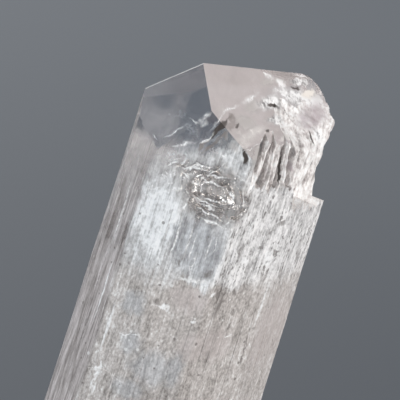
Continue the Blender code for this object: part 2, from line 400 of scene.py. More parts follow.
# %% Extrude the rings
levels = [(z, sum(level < z for level in LEDGES))
          for z in [index * RING_SPACING for index in range(1, int(HEIGHT / RING_SPACING) + 3)]
          if all(abs(z - level) > LEDGE_RISE for level in LEDGES)]
for index, level in enumerate(LEDGES):
    levels += [(level - LEDGE_RISE / 2, index), (level + LEDGE_RISE / 2, index + 1)]
bm = bmesh.new()
tip_layer = bm.faces.layers.float.new("tip")
worn_layer = bm.faces.layers.float.new("worn")
pane_layer = bm.faces.layers.float.new("pane")
base = top = bm.faces.new([bm.verts.new(point * MM) for point in ring(0.0, 0)])
for z, ledges_below in sorted(levels):
    lifted = bmesh.ops.extrude_face_region(bm, geom=[top])["geom"]
    if top is not base:
        bm.faces.remove(top)
    top = next(item for item in lifted if isinstance(item, bmesh.types.BMFace))
    for vert, point in zip(top.verts, ring(z, ledges_below)):
        vert.co = (point + Vector((0, 0, wander(point, z)))) * MM
bmesh.ops.recalc_face_normals(bm, faces=bm.faces)
print("prism faces", len(bm.faces))

# %% [markdown]
# # The tip and the foot
# On the real crystal two dome faces meet in the ridge, and a steep shoulder closes each end. Flat
# faces are cut flat: a plane slices the body and one face closes it. That keeps the edges sharp,
# which a sculpted tip would lose. Worn edges get one more narrow cut, and six slanted cuts chip the
# foot. Each new face of the tip and of the worn edges keeps a mark, so that the finish can tell
# them apart.

# %% Cut the tip and chip the foot
RIDGE_SETBACK = 0.14
DOME_INCLINATION = 43.9
SHOULDER_INCLINATION = 74.3
BASE_CHIPS = [(-20.0, 128.0, 7.17), (35.0, 118.0, 5.47), (88.0, 136.0, 6.10), (150.0, 124.0, 6.90),
              (-135.0, 132.0, 5.50), (-82.0, 121.0, 8.55)]


def ridge_point(along):
    """Point of the ridge, so many millimetres right of its middle."""
    return (Vector((0, 0, HEIGHT)) - outward(A_AXIS) * RIDGE_SETBACK
            + outward(A_AXIS + 90) * along)


TIP_PLANES = [(ridge_point(0), outward(A_AXIS, DOME_INCLINATION)),
              (ridge_point(0), outward(A_AXIS + 180, DOME_INCLINATION)),
              (ridge_point(-6.11), outward(-38.5, SHOULDER_INCLINATION)),
              (ridge_point(5.78), outward(A_AXIS + 90, SHOULDER_INCLINATION)),
              (ridge_point(4.75), outward(108.0, 30.0)), (ridge_point(4.2), outward(116.0, 14.0)),
              (ridge_point(5.35), outward(112.0, 50.0))]
# Two planes that meet, where along the ridge, and how far their edge is worn back.
WORN_EDGES = [(0, 1, 0, 0.02), (1, 2, -6.11, 0.08)]


def cut_face(bm, point, direction, layer=None):
    """Slices the body with a plane, drops what is outside and closes it with one flat face."""
    geometry = bm.verts[:] + bm.edges[:] + bm.faces[:]
    cut = bmesh.ops.bisect_plane(bm, geom=geometry, dist=1e-8, plane_co=point * MM,
                                 plane_no=direction, clear_outer=True)
    rim = [item for item in cut["geom_cut"] if isinstance(item, bmesh.types.BMEdge)]
    for face in bmesh.ops.contextual_create(bm, geom=rim)["faces"]:
        if layer is not None:
            face[layer] = 1.0


CLEAR_PANE = 2
for index, (point, direction) in enumerate(TIP_PLANES):
    cut_face(bm, point, direction, pane_layer if index == CLEAR_PANE else tip_layer)
for one, two, along, setback in WORN_EDGES:
    between = (TIP_PLANES[one][1] + TIP_PLANES[two][1]).normalized()
    cut_face(bm, ridge_point(along) - between * setback, between, worn_layer)
for azimuth, inclination, reach in BASE_CHIPS:
    cut_face(bm, outward(azimuth) * reach, outward(azimuth, inclination))
print("after the cuts", len(bm.faces), "faces")

crystal = add_piece("danburite_crystal", bm)

# %% [markdown]
# # The broken corner
# The top right corner was knocked and then etched. It is cut back to upright ribs over a ledge,
# and the top is scooped like the inside of a shell. The cutter is a grid bent round the axis,
# with its inner side at the depth of the break, and a Boolean takes it away.

# %% Depth of the break
ZONE = (8.0, 168.0, 36.2, 47.0)
ZONE_CELLS = (230, 66)
RIB_PITCH = 13.5
RIB_LEAN = 2.2


def uneven(x, y, z):
    return noise.noise(Vector((x, y, z)))


def rib_gap(azimuth, z):
    """0 on the crest of a rib and about 1 in the gap between two ribs."""
    azimuth -= RIB_LEAN * (z - 39)
    phase = (azimuth + 7.0 * uneven(azimuth / 17.0, 3.7, z / 6)) / RIB_PITCH
    fine = (azimuth + 3.0 * uneven(azimuth / 6.0, 6.7, z / 4)) / (RIB_PITCH / 3.1)
    deep = (0.8 + 0.7 * uneven(azimuth / 9.0, 5.2, z / 3)) * (1 - abs(math.sin(math.pi * phase))) ** 1.2
    return deep + 0.14 * (1 - abs(math.sin(math.pi * fine)))


def wall_cut(azimuth, z):
    """Millimetres that the break takes off the prism faces, negative where they are whole."""
    side = smoothstep(58, 70, azimuth)
    ledge = 38.2 - 1.3 * side + 0.9 * uneven(azimuth / 7.0, 0.0, 1.3)
    ledge += 0.35 * uneven(azimuth / 2.1, 2.0, 1.3)
    opens = smoothstep(ledge - 0.15, ledge + 0.15, z)
    front = 0.12 + 0.95 * smoothstep(38, 41.5, z)
    depth = front + (0.82 - front) * side + 0.95 * rib_gap(azimuth, z)
    depth += 0.12 * uneven(azimuth / 5.0, 9.1, z) + 0.05 * uneven(azimuth / 1.3, 3.1, z / 0.35)
    inside = smoothstep(12, 19, azimuth) * (1 - smoothstep(148, 160, azimuth))
    return -0.5 + (depth + 0.5) * opens * inside


def top_cut(azimuth, z):
    """Millimetres that the break takes off the dome and the steep end face."""
    place = outward(azimuth) * 5 + Vector((0, 0, z))
    depth = 0.38 * (0.55 + 1.1 * noise.noise(place / 2.1) + 0.5 * noise.noise(place / 0.8)
                    + 0.16 * noise.noise(place / 0.33))
    inside = smoothstep(28, 75, azimuth + 2.4 * (HEIGHT - z))
    inside *= (1 - smoothstep(146, 158, azimuth)) * (1 - smoothstep(43.4, 45.7, z))
    return -0.5 + (depth + 0.5) * inside


def broken_radius(azimuth, z):
    """Distance of the broken surface from the axis."""
    ray = outward(azimuth)
    limits = []
    for face, (turned, _) in enumerate(PRISM_FACES):
        facing = ray.dot(outward(turned))
        if facing > 0.2:
            limits.append((face_distance(face, z) - wall_cut(azimuth, z)) / facing)
    for point, direction in TIP_PLANES[:4]:
        facing = ray.dot(direction)
        if facing > 0.05:
            limits.append((direction.dot(point) - top_cut(azimuth, z) - direction.z * z) / facing)
    return max(1.2, min(limits))


print("deepest gap between ribs", round(max(wall_cut(azimuth, 41) for azimuth in range(20, 148)), 2), "mm")


# %% Take the break away
CUTTER_RADIUS = 12.0

bm = bmesh.new()
bmesh.ops.create_grid(bm, x_segments=ZONE_CELLS[0], y_segments=ZONE_CELLS[1], size=0.5)
outer = bmesh.ops.extrude_face_region(bm, geom=bm.faces[:], use_keep_orig=True)["geom"]
outer_verts = {item for item in outer if isinstance(item, bmesh.types.BMVert)}
for vert in bm.verts:
    azimuth = ZONE[0] + (vert.co.x + 0.5) * (ZONE[1] - ZONE[0])
    z = ZONE[2] + (vert.co.y + 0.5) * (ZONE[3] - ZONE[2])
    radius = CUTTER_RADIUS if vert in outer_verts else broken_radius(azimuth, z)
    vert.co = (outward(azimuth) * radius + Vector((0, 0, z))) * MM
bmesh.ops.recalc_face_normals(bm, faces=bm.faces)
cutter = add_piece("break_cutter", bm)
# The Boolean carries each side's material over, which tells the broken faces from the grown ones.
crystal.data.materials.append(bpy.data.materials.new("grown_face"))
cutter.data.materials.append(bpy.data.materials.new("broken_face"))
cut = crystal.modifiers.new("break", "BOOLEAN")
cut.operation = "DIFFERENCE"
cut.solver = "EXACT"
cut.material_mode = "TRANSFER"
cut.object = cutter
finished = bpy.data.meshes.new_from_object(crystal.evaluated_get(bpy.context.evaluated_depsgraph_get()))
crystal.modifiers.clear()
crystal.data = finished
bpy.data.objects.remove(cutter, do_unlink=True)

# %% Mark the broken faces, and the crevices that get painted shade
broken = finished.attributes.new("broken", "FLOAT", "FACE")
# How deep each point lies in the gap between two ribs, for the painted shade in the crevices.
crevice = finished.attributes.new("crevice", "FLOAT", "POINT")
for index, vert in enumerate(finished.vertices):
    turned = math.degrees(math.atan2(vert.co.x, -vert.co.y))
    height = vert.co.z / MM
    between = smoothstep(37.9, 38.6, height) * (1 - smoothstep(41.0, 42.6, height))
    crevice.data[index].value = min(1.0, rib_gap(turned, height)) * between
for index, polygon in enumerate(finished.polygons):
    broken.data[index].value = float(polygon.material_index == 1)
    polygon.material_index = 0
finished.materials.clear()
print("attributes", sorted(finished.attributes.keys()))
print("crystal faces", len(finished.polygons), "broken", sum(item.value for item in broken.data))

# %% Ride on the frame
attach(crystal, "root")
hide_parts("crystal")
print("the crystal rides on the frame")

# %% [markdown]
# # The milk inside
# The lower two thirds of the real crystal are cloudy with tiny inclusions. A volume of scattering
# would be slow and would not travel to other programs, so the milk is made of two lumpy closed
# bodies inside the clear skin, one deep and dense, one shallow and thin. The clear skin bends
# them, which gives a depth that paint on the outside lacks.

# %% Keep an inclusion inside the crystal
def add_inclusion(name, bm):
    """Makes a piece of a closed bmesh that lies inside the crystal and belongs to it."""
    bmesh.ops.recalc_face_normals(bm, faces=bm.faces)
    inclusion = add_piece(name, bm)
    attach(inclusion, "root")
    return inclusion


# %% Shape a cloud
def inner_reach(azimuth, z, inset):
    """Distance from the axis to a place this far inside the prism faces."""
    ray = outward(azimuth)
    return min((face_distance(face, z) - inset) / ray.dot(outward(facing))
               for face, (facing, _) in enumerate(PRISM_FACES) if ray.dot(outward(facing)) > 0.2)


SQUARENESS = 0.28


def make_cloud(name, bottom, top, inset, lump, seed):
    """A closed lumpy body that follows the prism inside, from a sphere."""
    bm = bmesh.new()
    bmesh.ops.create_uvsphere(bm, u_segments=120, v_segments=88, radius=1.0)
    middle, half = (bottom + top) / 2, (top - bottom) / 2
    for vert in bm.verts:
        flat = math.hypot(vert.co.x, vert.co.y)
        turned = math.degrees(math.atan2(vert.co.x, -vert.co.y)) if flat > 1e-6 else 0.0
        z = middle + half * math.copysign(abs(vert.co.z) ** SQUARENESS, vert.co.z)
        reach = inner_reach(turned, z, inset) * flat ** SQUARENESS if flat > 1e-6 else 0.0
        point = outward(turned) * reach + Vector((0, 0, z))
        bumps = noise.noise(point / 1.7 + Vector((seed, 0, 0))) + 0.5 * noise.noise(point / 0.7)
        near_top = smoothstep(top - 3.0, top, z)
        point += outward(turned) * lump * bumps
        point.z += near_top * 1.6 * noise.noise(Vector((point.x / 3.0, point.y / 3.0, seed)))
        vert.co = point * MM
    return add_inclusion(name, bm)


deep_cloud = make_cloud("deep_cloud", bottom=1.2, top=29.2, inset=2.2, lump=0.5, seed=2.0)
thin_cloud = make_cloud("thin_cloud", bottom=0.7, top=30.6, inset=0.9, lump=0.22, seed=8.0)


# %% Finish of the clouds
def cloud_finish(name, pale, dark, least, most, seed):
    """Soft scattering matter with holes, as dense as its noise says."""
    haze = Finish(name)
    lumps = haze.grain(1.5 * MM, 3.0 * MM, seed, 5.0)
    fibres = haze.grain(0.35 * MM, 3.5 * MM, seed + 1, 3.0)
    tone = (lumps.swing(2.0) + fibres.swing(1.0) + 0.5).held()
    body = haze.node("ShaderNodeBsdfPrincipled", {}, Base_Color=haze.mix(tone, dark, pale),
                     Roughness=0.9, Specular_IOR_Level=0.0)
    dense = least + (most - least) * (lumps.swing(2.6) + fibres.swing(1.6) + 0.5).held()
    return haze.close(haze.with_holes(dense, body))


deep_cloud.data.materials.append(cloud_finish(
    "deep_milk", (0.86, 0.80, 0.78, 1), (0.60, 0.54, 0.52, 1), 0.88, 1.0, 3.0))
thin_cloud.data.materials.append(cloud_finish(
    "thin_milk", (0.95, 0.93, 0.92, 1), (0.74, 0.69, 0.67, 1), 0.05, 0.75, 11.0))

# %% [markdown]
# # Cracks inside the tip
# Inside the clear tip a shell-shaped crack shows as bright arcs over dark brown, and thin white
# veils hang beside it. A crack in clear stone is a gap of air, and light meets it as it meets a
# mirror. A painted crack would stay on the surface when the crystal turns. So each of these cracks
# is a thin closed sheet with ripples, held a little under the skin, mostly mirror and partly open.

# %% Shape a crack
SHEET_COVER = 0.3
SHEET_THICKNESS = 0.03


def skin_reach(turned, height):
    """Distance of the crystal's surface from the axis, in millimetres."""
    ray = outward(turned)
    walls = [(face_distance(face, height), outward(facing))
             for face, (facing, _) in enumerate(PRISM_FACES)]
    walls += [(direction.dot(point) - direction.z * height, direction)
              for point, direction in TIP_PLANES]
    reaches = [away / ray.dot(facing) for away, facing in walls if ray.dot(facing) > 0.05]
    return min(reaches + [broken_radius(turned, height)])


def make_sheet(name, where, half_sizes, roll, bowl, ripple, pitch, rough, tip_over, seed):
    """A thin rippled sheet under the skin; where is its azimuth, height and depth."""
    turned, height, depth = where
    bm = bmesh.new()
    bmesh.ops.create_grid(bm, x_segments=100, y_segments=70, size=1.0)
    out, side = outward(turned), outward(turned + 90)
    middle = out * (skin_reach(turned, height) - depth) + Vector((0, 0, height))
    cosine, sine = math.cos(math.radians(roll)), math.sin(math.radians(roll))
    for vert in bm.verts:
        u, v = vert.co.x, vert.co.y
        round_u, round_v = u * math.sqrt(1 - v * v / 2), v * math.sqrt(1 - u * u / 2)
        edge = 1 + 0.22 * noise.noise(Vector((round_u * 1.6, round_v * 1.6, seed)))
        along, up = round_u * half_sizes[0] * edge, round_v * half_sizes[1] * edge
        across, rise = along * cosine - up * sine, along * sine + up * cosine
        ring_number = math.hypot(along, up * 1.5) / pitch
        ring_number += 0.45 * noise.noise(Vector((across, rise, seed)))
        into = -bowl * (along * along + up * up) + ripple * math.sin(ring_number * math.tau)
        into += rough * 0.12 * noise.noise(Vector((across / 0.9, rise / 0.9, seed + 4)))
        into += rough * 0.04 * noise.noise(Vector((across / 0.3, rise / 0.3, seed + 6)))
        point = middle + side * across + Vector((0, 0, rise)) + out * (into - tip_over * rise)
        room = skin_reach(math.degrees(math.atan2(point.x, -point.y)), point.z) - SHEET_COVER
        point.xy *= min(1.0, room / point.xy.length)
        vert.co = point * MM
    bmesh.ops.solidify(bm, geom=bm.faces[:], thickness=SHEET_THICKNESS * MM)
    return add_inclusion(name, bm)


shell_crack = make_sheet("shell_crack", (-7.0, 37.0, 0.9), (3.3, 2.4), roll=-14, bowl=0.09,
                         ripple=0.085, pitch=0.85, rough=0.8, tip_over=0.1, seed=2.0)
tip_crack = make_sheet("tip_crack", (52.0, 42.3, 0.7), (1.9, 1.1), roll=8, bowl=0.02,
                       ripple=0.05, pitch=0.7, rough=1.6, tip_over=0.9, seed=5.0)
wedge_crack = make_sheet("wedge_crack", (6.5, 41.6, 0.5), (1.3, 0.3), roll=50, bowl=0.0,
                         ripple=0.0, pitch=1.0, rough=0.25, tip_over=1.3, seed=7.0)
left_veil = make_sheet("left_veil", (-36.0, 40.4, 1.4), (2.9, 1.9), roll=14, bowl=0.03,
                       ripple=0.03, pitch=1.3, rough=1.0, tip_over=0.0, seed=8.0)


# %% Finish of the cracks
crack = Finish("crack")
crumple = crack.grain(0.35 * MM, 0.35 * MM, 4.0, 4.0)
tone = crack.grain(0.9 * MM, 0.5 * MM, 7.0, 3.0)
tint = crack.mix((tone.swing(3.4) + 0.48).held(), (0.40, 0.33, 0.28, 1), (1.0, 0.99, 0.97, 1))
mirror = crack.node("ShaderNodeBsdfPrincipled", {}, Base_Color=tint, Metallic=1.0, Roughness=0.18)
crack_material = crack.close(crack.with_holes((crumple.swing(2.4) + 0.62).held(), mirror))
shell_crack.data.materials.append(crack_material)
tip_crack.data.materials.append(crack_material)

# %% Finish of the veil
veil = Finish("veil")
wisps = veil.grain(1.5 * MM, 1.1 * MM, 2.0, 4.0)
puffs = veil.grain(1.8 * MM, 1.3 * MM, 5.0, 4.0)
thread = 1 - veil.rise(abs(wisps - 0.52), 0.0, 0.06)
thread = (thread * ((puffs - 0.44) * 6.0).held() + puffs.swing(2.2).held() * 0.5).held()
white = veil.node("ShaderNodeBsdfPrincipled", {}, Base_Color=(0.93, 0.95, 0.97, 1), Roughness=0.8,
                  Specular_IOR_Level=0.0)
left_veil.data.materials.append(veil.close(veil.with_holes(thread * 0.85, white)))

# %% Finish of the pale crack
pale_finish = Finish("pale_crack")
pale_tone = pale_finish.grain(0.35 * MM, 0.35 * MM, 3.0, 4.0)
pale_colour = pale_finish.mix((pale_tone.swing(3) + 0.6).held(),
                              (0.50, 0.48, 0.47, 1), (0.95, 0.93, 0.91, 1))
frosted = pale_finish.node("ShaderNodeBsdfPrincipled", {}, Roughness=0.5, Base_Color=pale_colour)
wedge_crack.data.materials.append(pale_finish.close(
    pale_finish.with_holes((pale_tone.swing(2) + 0.75).held(), frosted)))

# %% [markdown]
# # The finish of the crystal
# The same stone looks clear, silky and milky in different places. Clear danburite is plain glass
# with a high IOR. Etched skin and tiny inclusions scatter light, and they look milky. So there
# are two shaders, clear and milky, and a mask says how much of each shows. It could be a painted
# picture on a UV map, but sums of noise stay sharp at any distance and need no picture. The mask
# and the colours are sums of noise drawn out up the crystal, of bands by height, and of spots.

# %% Where a point lies
skin = Finish("danburite")
in_mm = skin.vector("MULTIPLY", skin.place, (1000, 1000, 1000))
split = skin.node("ShaderNodeSeparateXYZ", {}, in_mm)
x, y, z = split.out("X"), split.out("Y"), split.out("Z")
azimuth = skin.node("ShaderNodeMath", {"operation": "ARCTAN2"}, x, 0 - y) * math.degrees(1)
broken_here, tip_here, crevice, pane_here, worn_edge_highlight = (
    skin.node("ShaderNodeAttribute", {"attribute_name": name}).out("Fac")
    for name in ("broken", "tip", "crevice", "pane", "worn"))


def round_axis(levels):
    """A value that changes with the azimuth, from pairs of an azimuth and a value."""
    high = max(value for _, value in levels)
    stops = [((turned + 180) / 360, (0, 0, 0, value / high)) for turned, value in levels]
    return skin.ramp((azimuth + 180) / 360, stops).out("Alpha") * high


skin.tell("places")


# %% Grain of the stone
fine_grain = skin.grain(0.11 * MM, 1.5 * MM, 1.0, 3.0)
mid_grain = skin.grain(0.42 * MM, 5.0 * MM, 2.0, 3.0)
clouds = skin.grain(1.3 * MM, 1.7 * MM, 4.0, 5.0)
etched = skin.grain(0.17 * MM, 0.26 * MM, 5.0, 4.0)
flakes = skin.grain(0.55 * MM, 0.9 * MM, 6.0, 4.0)
slivers = skin.grain(0.22 * MM, 1.1 * MM, 8.0, 4.0)
streaks = fine_grain * 0.4 + mid_grain * 0.6
skin.tell("grains")

# %% Spots with a place on the skin
# DEGREE is the millimetres of skin in one degree. A spot thinner than THIN is kept steadier.
DEGREE = 0.125
THIN = 0.2
SOFT_RIM = 1.45

jitter = skin.node("ShaderNodeTexNoise", {"noise_dimensions": "3D"}, Vector=in_mm, Scale=1.5,
                   Detail=4.0).out("Color")
jitter = skin.vector("MULTIPLY", skin.vector("SUBTRACT", jitter, (0.5, 0.5, 0.5)), (1.1, 1.3, 0.0))
flat_place = skin.node("ShaderNodeCombineXYZ", {}, azimuth * DEGREE, z)
unrolled = skin.vector("ADD", flat_place, jitter)
steady = skin.vector("ADD", flat_place, skin.vector("MULTIPLY", jitter, (0.22, 0.5, 0.0)))


def reach(place, middle, wide, tall, lean, strength):
    """1 in the middle of an oval and 0 outside its soft rim; a weaker oval is a smaller one."""
    size = (0.55 + 0.45 * strength) * SOFT_RIM
    inside = skin.node("ShaderNodeMapping", {"vector_type": "TEXTURE"}, place, (*middle, 0),
                       (0, 0, math.radians(lean)), (wide * size, tall * size, 1))
    return skin.node("ShaderNodeTexGradient", {"gradient_type": "SPHERICAL"}, inside).out("Fac")


def union(reaches, full=0.62):
    """1 inside any of the ovals and 0 outside all of them, with soft rims."""
    nearest = None
    for other in reaches:
        nearest = other if nearest is None else nearest.most(other)
    return skin.rise(nearest, 0.0, full)


def spots(places):
    """Ragged ovals on the unrolled skin: strength, azimuth, height, half sizes and lean."""
    return union(reach(steady if min(wide, tall) < THIN and max(wide, tall) > 1 else unrolled,
                       (turned * DEGREE, height), wide, tall, sum(lean), strength)
                 for strength, turned, height, wide, tall, *lean in places)


# %% [markdown]
# # Milky or clear
# On the real crystal the milk rises to a ragged edge that is higher on the right, and above it the
# stone is clear. The edge's height round the crystal is read from a ramp, and noise makes it
# ragged. Below it the skin is silky: less even on the left, thin over the window, gone over the
# shell-shaped crack.

# %% How milky each place is
ragged = z + clouds.swing(2.6) + mid_grain.swing(1.6)
haze_top = round_axis([(-180, 38.5), (-150, 38), (-110, 36.5), (-85, 36), (-70, 38.4), (-58, 38.8),
                       (-46, 39.2), (-36, 40.0), (-26, 40.9), (-16, 42.2), (-8, 43.4), (0, 43.4),
                       (10, 43.6), (25, 44), (70, 44.5), (110, 44), (132, 40), (148, 39), (180, 38.5)])
haze = 1 - skin.rise(ragged - haze_top, -3.2, 0.6)
away = skin.rise(abs(azimuth - 20), 70.0, 115.0)
blurred = ragged + clouds.swing(away) * 5.0
left_fade = 1 - skin.rise(azimuth, -20.0, -8.0)
soft_edge = away * 3.0 + skin.rise(azimuth, 30.0, 60.0) * 1.5 + left_fade
upper = skin.rise(blurred, 29.7 - away * 3.0 - left_fade * 1.6, 30.5 + soft_edge)
right_side = skin.rise(azimuth + clouds.swing(14), 8.0, 16.0)
right_side = right_side * (1 - skin.rise(azimuth, 135.0, 175.0))
left_side = 1 - skin.rise(azimuth + clouds.swing(10), -50.0, -44.0)
left_side = left_side * (0.25 + 0.75 * skin.rise(azimuth, -98.0, -80.0))
# A patch on the left front faces is made milkier and paler: partly a painted highlight of the left lamp.
milk_and_highlight_patch = spots([(1.0, -34, 34.0, 1.35, 2.4, 4), (0.8, -27, 36.0, 0.8, 1.6, -12)])
window = spots([(1.0, -9, 32.9, 1.5, 2.1), (0.9, 3, 32.3, 1.2, 2.0), (0.8, -18, 33.2, 0.7, 1.7)])
shell = spots([(1.0, -7, 37.0, 2.9, 2.1, -10), (0.8, -19, 38.5, 1.3, 0.7, 20), (0.9, 13, 36.6, 0.8, 1.5),
               (0.8, -13, 41.2, 0.9, 1.5, -30), (0.5, -32, 38.6, 1.2, 0.6, 20)])
# The patch raises the milk here, partly as a painted highlight.
level = 0.74 + 0.20 * right_side + 0.30 * milk_and_highlight_patch - 0.12 * window - 0.16 * left_side
upper_share = (level + streaks.swing(1.3 - 0.5 * right_side) + etched.swing(0.3)
               + flakes.swing(0.6 + 0.3 * right_side))
lower_share = 0.95 + streaks.swing(0.6)
share = lower_share + (upper_share - lower_share) * upper
share = (share * haze * (1 - 0.86 * shell)).held()
skin.tell("milkiness")

# %% [markdown]
# # The colours of the milk
# The lower part is pinkish grey with bluish patches, and the upper part is nearly white with dark
# nicks. A single colour would look like plastic. So each part has a tone, which is a sum of
# grains, and a ramp turns the tone into colours. Marks that stand out in the stone, such as pits,
# bright scars and blue patches, are spots at their own azimuth and height. Some bright spots are
# painted glints: white arcs and sparks of light mirrored by the cracks.

# %% Named marks
dark_marks = spots([
    (0.9, 22, 28.9, 0.22, 1.35, -8), (0.7, 18.5, 29.6, 0.13, 1.0, -8), (0.8, 63.5, 27.0, 0.22, 0.16),
    (0.9, 61, 24.9, 0.09, 1.0), (0.8, 25, 23.0, 0.14, 0.10), (0.6, -20, 29.0, 0.14, 0.10),
    (0.7, -18.5, 24.9, 0.10, 0.09), (0.8, 38, 27.0, 0.2, 0.14), (0.7, 37, 28.3, 0.3, 0.2),
    (0.7, 50, 34.9, 0.5, 0.16, 20), (0.8, 58, 35.7, 0.5, 0.2, 20), (0.8, 45, 33.6, 0.3, 0.15),
    (0.8, 61, 33.2, 0.3, 0.2), (0.7, 98, 32.6, 0.15, 0.9), (0.7, 42.5, 30.8, 0.12, 0.5),
    (0.5, 33, 29.7, 0.35, 0.3), (0.8, 26, 33.2, 0.2, 0.6), (0.5, -19, 27.7, 0.3, 0.4),
    (0.7, 29, 37.8, 0.16, 0.08), (0.9, 57, 36.2, 0.22, 0.14), (0.7, 7, 30.9, 0.45, 0.45, -20),
    (0.6, -14, 31.3, 0.2, 0.6), (0.5, -50, 31.0, 0.12, 2.2), (0.6, -55, 35.0, 0.10, 3.0),
    (0.6, -62, 33.0, 0.12, 4.0), (0.5, -47, 25.0, 0.10, 2.5), (0.5, -57, 23.0, 0.12, 2.5)])
# Bright scars, and painted glints: thin white arcs by the shell-shaped crack, and sparks where cracks
# mirror the lamps.
scars_and_glints = spots([
    (1.0, 64.5, 28.9, 0.11, 1.6, -3), (1.0, 54, 32.9, 0.50, 0.40), (1.0, 57, 32.4, 0.35, 0.30),
    (0.9, 5.5, 37.3, 0.13, 0.40, 30), (0.9, -1, 30.2, 1.3, 0.15, 8), (0.8, 12, 31.2, 0.13, 1.1),
    (0.8, -12, 33.0, 0.09, 1.5), (0.6, -8.5, 32.6, 0.07, 1.3), (0.7, 1.5, 33.0, 0.07, 1.2),
    (0.6, -5, 31.4, 0.06, 0.9), (0.5, 5, 33.4, 0.06, 1.0), (0.5, -20, 33.0, 0.10, 2.0),
    (0.5, 14, 29.6, 0.3, 0.2, 40), (0.5, -14, 27.5, 0.5, 0.3), (0.6, 7, 27.2, 0.3, 0.2),
    (0.5, 41, 26.3, 0.5, 0.10), (0.6, 28, 34.8, 0.2, 0.5), (0.6, 33, 32.5, 0.5, 0.35),
    (0.35, -42, 24.5, 0.15, 2.5), (0.35, -40, 20.5, 0.2, 2.0), (0.6, -28, 24.6, 0.9, 0.09, 14),
    (0.7, -6, 38.5, 1.2, 0.09, 8), (0.8, -22, 38.5, 0.9, 0.10, 12), (0.7, -9, 37.9, 1.3, 0.06, -6),
    (0.7, -10, 36.3, 1.2, 0.07, -8), (0.7, -4, 35.5, 1.4, 0.09, -8), (0.6, 2, 34.9, 1.5, 0.09, -3),
    (0.5, -36, 37.3, 1.0, 0.10, 24), (0.6, -43, 36.0, 0.5, 0.10, 45), (0.5, -57, 33.0, 0.07, 3.5),
    (0.45, -52, 27.0, 0.08, 3.0), (0.5, 8, 37.9, 0.6, 0.07, -30)])
blue_marks = spots([(0.8, -32, 27.0, 0.9, 1.0), (0.7, -26, 24.0, 0.9, 1.0), (1.0, -10, 22.6, 1.6, 1.3),
                    (0.8, 4, 23.0, 0.7, 1.4), (0.7, -34, 30.6, 1.0, 0.7), (0.5, -20, 20.5, 1.5, 1.0)])
pink_marks = spots([(1.0, 0, 28.6, 1.5, 1.0), (0.7, 30, 25.5, 2.0, 1.5), (0.8, 90, 26.5, 3.2, 3.4),
                    (0.5, 12, 25.0, 1.5, 1.5)])

# %% Specks
cells = skin.node("ShaderNodeTexVoronoi", {"feature": "F1"}, Vector=in_mm, Scale=1.1)
chance = skin.node("ShaderNodeSeparateColor", {}, cells.out("Color"))
kind = chance.out("Red")
from_speck = cells - chance.out("Green") * 0.11
dark_speck = (1 - skin.rise(from_speck, 0.02, 0.06)) * skin.rise(kind, 0.44, 0.48)
bright_speck = (1 - skin.rise(from_speck, 0.02, 0.09)) * (1 - skin.rise(kind, 0.25, 0.29))

# %% Colours of the lower part
behind = 1 - skin.rise(azimuth, -175.0, -110.0)
calm = skin.rise(azimuth, 20.0, 75.0).most(behind)
lively = (1 - skin.rise(azimuth, -32.0, -8.0)) * (1 - behind)
low_tone = (0.40 + 0.16 * calm + 0.08 * lively + 0.12 * behind
            + streaks.swing(0.5 + 1.0 * lively)
            + clouds.swing(0.9 - 0.2 * calm) + etched.swing(1.7 - 0.7 * behind)
            + flakes.swing(0.8 - 0.2 * behind))
low_colour = skin.ramp(low_tone.held(), [
    (0.0, (0.26, 0.238, 0.222, 1)), (0.33, (0.465, 0.430, 0.408, 1)), (0.55, (0.60, 0.557, 0.533, 1)),
    (0.78, (0.74, 0.71, 0.69, 1)), (1.0, (0.93, 0.925, 0.91, 1))])
blue_tone = (etched.swing(2) + streaks.swing(2) + 0.5).held()
blue = skin.mix(blue_tone, (0.36, 0.365, 0.38, 1), (0.66, 0.665, 0.68, 1))
low_colour = skin.mix(blue_marks * 0.7, low_colour, blue)
low_colour = skin.mix(pink_marks * 0.5, low_colour, (0.61, 0.545, 0.53, 1))
skin.tell("lower colours")

# %% Colours of the upper part
# The patch pales the tone, partly as a painted highlight.
high_tone = (0.52 + skin.rise(azimuth, 48.0, 62.0) * 0.08 + etched.swing(1.2)
             + streaks.swing(1.9 - 0.7 * right_side)
             + flakes.swing(0.9 + 0.2 * right_side) + slivers.swing(1.5) * right_side
             + milk_and_highlight_patch * 0.20)
high_colour = skin.ramp(high_tone.held(), [
    (0.0, (0.27, 0.27, 0.275, 1)), (0.3, (0.55, 0.55, 0.555, 1)), (0.55, (0.75, 0.755, 0.76, 1)),
    (0.8, (0.93, 0.94, 0.95, 1)), (1.0, WHITE)])
pane_tone = (0.5 + streaks.swing(2.8) + etched.swing(1.2) + flakes.swing(0.8)).held()
pane_colour = skin.mix(pane_tone, (0.27, 0.285, 0.31, 1), (0.70, 0.73, 0.765, 1))
nicks = (1 - skin.rise(etched * 0.5 + slivers * 0.5 + clouds.swing(0.3), 0.395, 0.43)) * right_side
glints = skin.rise(etched * 0.4 + slivers * 0.6, 0.585, 0.62) * right_side
high_colour = skin.mix(nicks * 0.85, high_colour, (0.19, 0.18, 0.175, 1))
high_colour = skin.mix(glints * 0.8, high_colour, WHITE)
warmed = skin.node("ShaderNodeMix", {"data_type": "RGBA", "blend_type": "MULTIPLY"}, 1.0,
                   high_colour, (1.0, 0.97, 0.955, 1))
high_colour = skin.mix(right_side * 0.8, high_colour, warmed)
high_colour = skin.mix(window * 0.85, high_colour, pane_colour)
milk_colour = skin.mix(upper, low_colour, high_colour)
skin.tell("upper colours")

